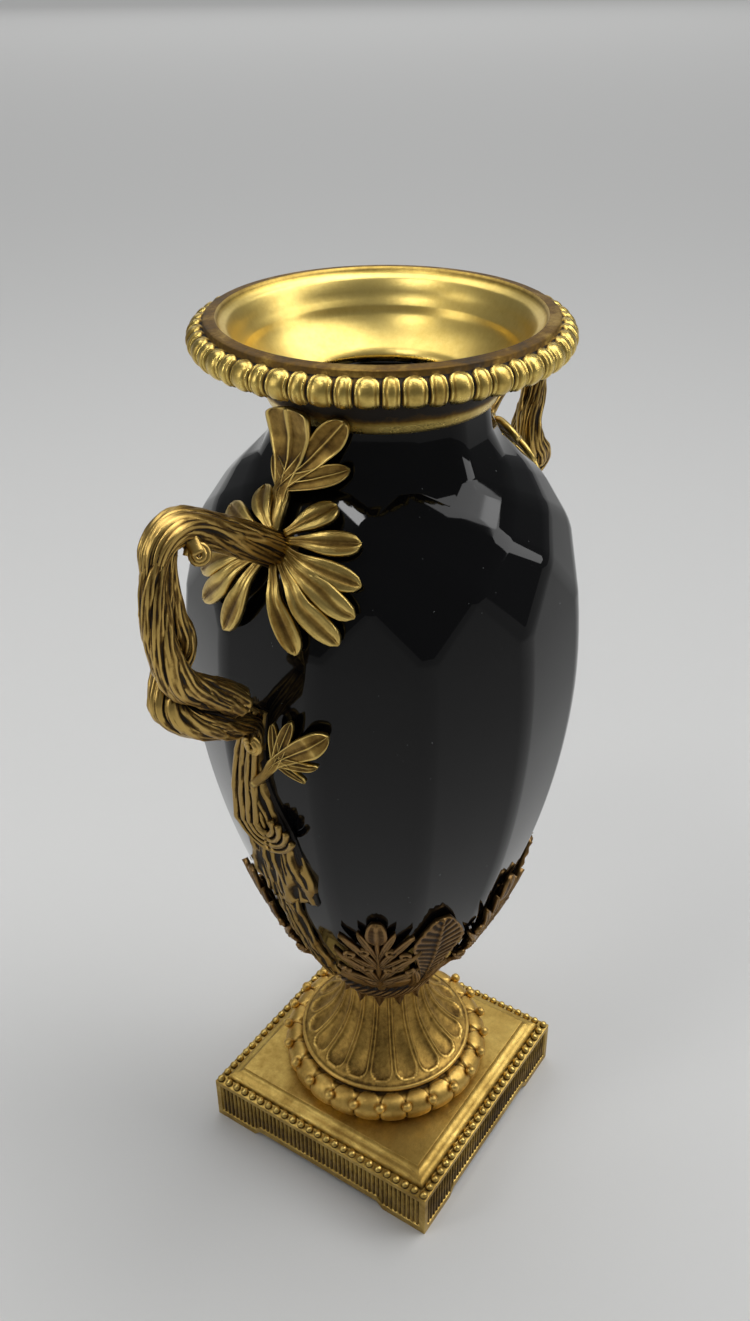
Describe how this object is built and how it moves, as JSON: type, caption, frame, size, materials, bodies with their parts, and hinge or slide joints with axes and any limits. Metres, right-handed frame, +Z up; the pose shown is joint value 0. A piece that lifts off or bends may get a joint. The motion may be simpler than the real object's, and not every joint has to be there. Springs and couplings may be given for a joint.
{
  "type": "ceramic vase in bronze mounts",
  "caption": "Faceted black ceramic baluster vase in gilt bronze mounts: square plinth, fluted foot, leaf calyx, gadrooned rim and branch handles with leaf sprays.",
  "frame": {"origin": "middle of the plinth's underside, on the surface that the vase stands on", "axes": "+Z up the vase's axis, the two handles along -X and +X, the plinth's sides square to X and Y"},
  "size_m": [0.3916, 0.2242, 0.5924],
  "materials": {
    "plinth_bronze": "satin",
    "foot_bronze": "satin",
    "calyx_bronze": "dull",
    "black_glaze": "glossy",
    "rim_gilt": "polished",
    "branch_bronze": "satin"
  },
  "bodies": {
    "root": {"plinth": "plinth_bronze", "foot": "foot_bronze", "calyx": "calyx_bronze", "vase_body": "black_glaze", "rim": "rim_gilt", "handle_left": "branch_bronze", "handle_right": "branch_bronze"}
  },
  "joints": []
}
